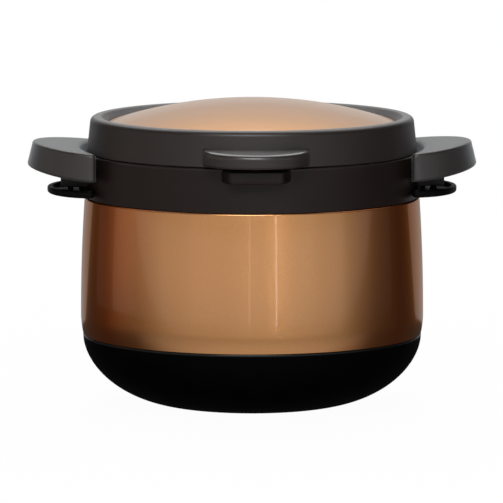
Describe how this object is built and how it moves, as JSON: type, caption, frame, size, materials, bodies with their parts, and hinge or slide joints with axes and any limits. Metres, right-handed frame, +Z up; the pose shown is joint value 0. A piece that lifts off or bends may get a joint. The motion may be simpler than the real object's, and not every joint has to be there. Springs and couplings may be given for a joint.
{
  "type": "thermal cooker",
  "caption": "Vacuum-walled cooking vessel with side grips, a lift-off insulated lid and a lidded pot inside that is heated on a hob and then keeps cooking in the vessel",
  "frame": {"origin": "centre of the footprint, on the surface that the foot ring rests on", "axes": "+Z up along the vessel's axis, -Y towards the viewer's front with the lid's tab, side grips along +X and -X"},
  "size_m": [0.3144, 0.282, 0.2149],
  "materials": {
    "copper_coat": "metallic lacquer",
    "black_plastic": "matte",
    "brown_black_plastic": "satin",
    "steel": "brushed",
    "grey_rubber": "silicone, matte",
    "black_rubber": "matte",
    "white_foam": "foam",
    "grey_plastic": "satin",
    "aluminium": "turned",
    "clear_glass": "clear"
  },
  "bodies": {
    "vessel": {"base_cap": "black_plastic", "foot_ring": "black_rubber", "outer_shell": "copper_coat", "vacuum_seal_cap": "steel", "getter": "aluminium", "inner_liner": "steel", "collar": "brown_black_plastic", "collar_gasket": "grey_rubber", "grip_left": "brown_black_plastic", "grip_right": "brown_black_plastic", "grip_guard_left": "black_plastic", "grip_guard_right": "black_plastic", "grip_screw_left_front": "steel", "grip_screw_left_rear": "steel", "grip_screw_right_front": "steel", "grip_screw_right_rear": "steel"},
    "cooking_pot": {"inner_pot": "steel", "pot_base_disc": "aluminium", "pot_bracket_left": "steel", "pot_bracket_right": "steel"},
    "handle_left": {"pot_handle_left": "steel"},
    "handle_right": {"pot_handle_right": "steel"},
    "glass_lid": {"pot_lid_glass": "clear_glass", "pot_lid_band": "steel", "pot_lid_knob": "black_plastic", "knob_screw": "steel", "knob_seal": "grey_rubber", "knob_washer": "steel"},
    "outer_lid": {"lid_ring": "brown_black_plastic", "lid_dome": "copper_coat", "lid_foam": "white_foam", "lid_liner": "grey_plastic", "lid_gasket": "grey_rubber", "lid_screw_1": "steel", "lid_screw_2": "steel", "lid_screw_3": "steel"}
  },
  "joints": [
    {"name": "pot_lift", "type": "slide", "parent": "vessel", "child": "cooking_pot", "axis": [0, 0, 1], "range_m": [0, 0.2]},
    {"name": "glass_lid_lift", "type": "slide", "parent": "cooking_pot", "child": "glass_lid", "axis": [0, 0, 1], "range_m": [0, 0.1]},
    {"name": "outer_lid_lift", "type": "slide", "parent": "glass_lid", "child": "outer_lid", "axis": [0, 0, 1], "range_m": [0, 0.12]},
    {"name": "handle_left_fold", "type": "hinge", "parent": "cooking_pot", "child": "handle_left", "pos_m": [-0.1005, 0, 0.156], "axis": [0, 1, 0], "range_deg": [0, 60]},
    {"name": "handle_right_fold", "type": "hinge", "parent": "cooking_pot", "child": "handle_right", "pos_m": [0.1005, 0, 0.156], "axis": [0, -1, 0], "range_deg": [0, 60]}
  ]
}
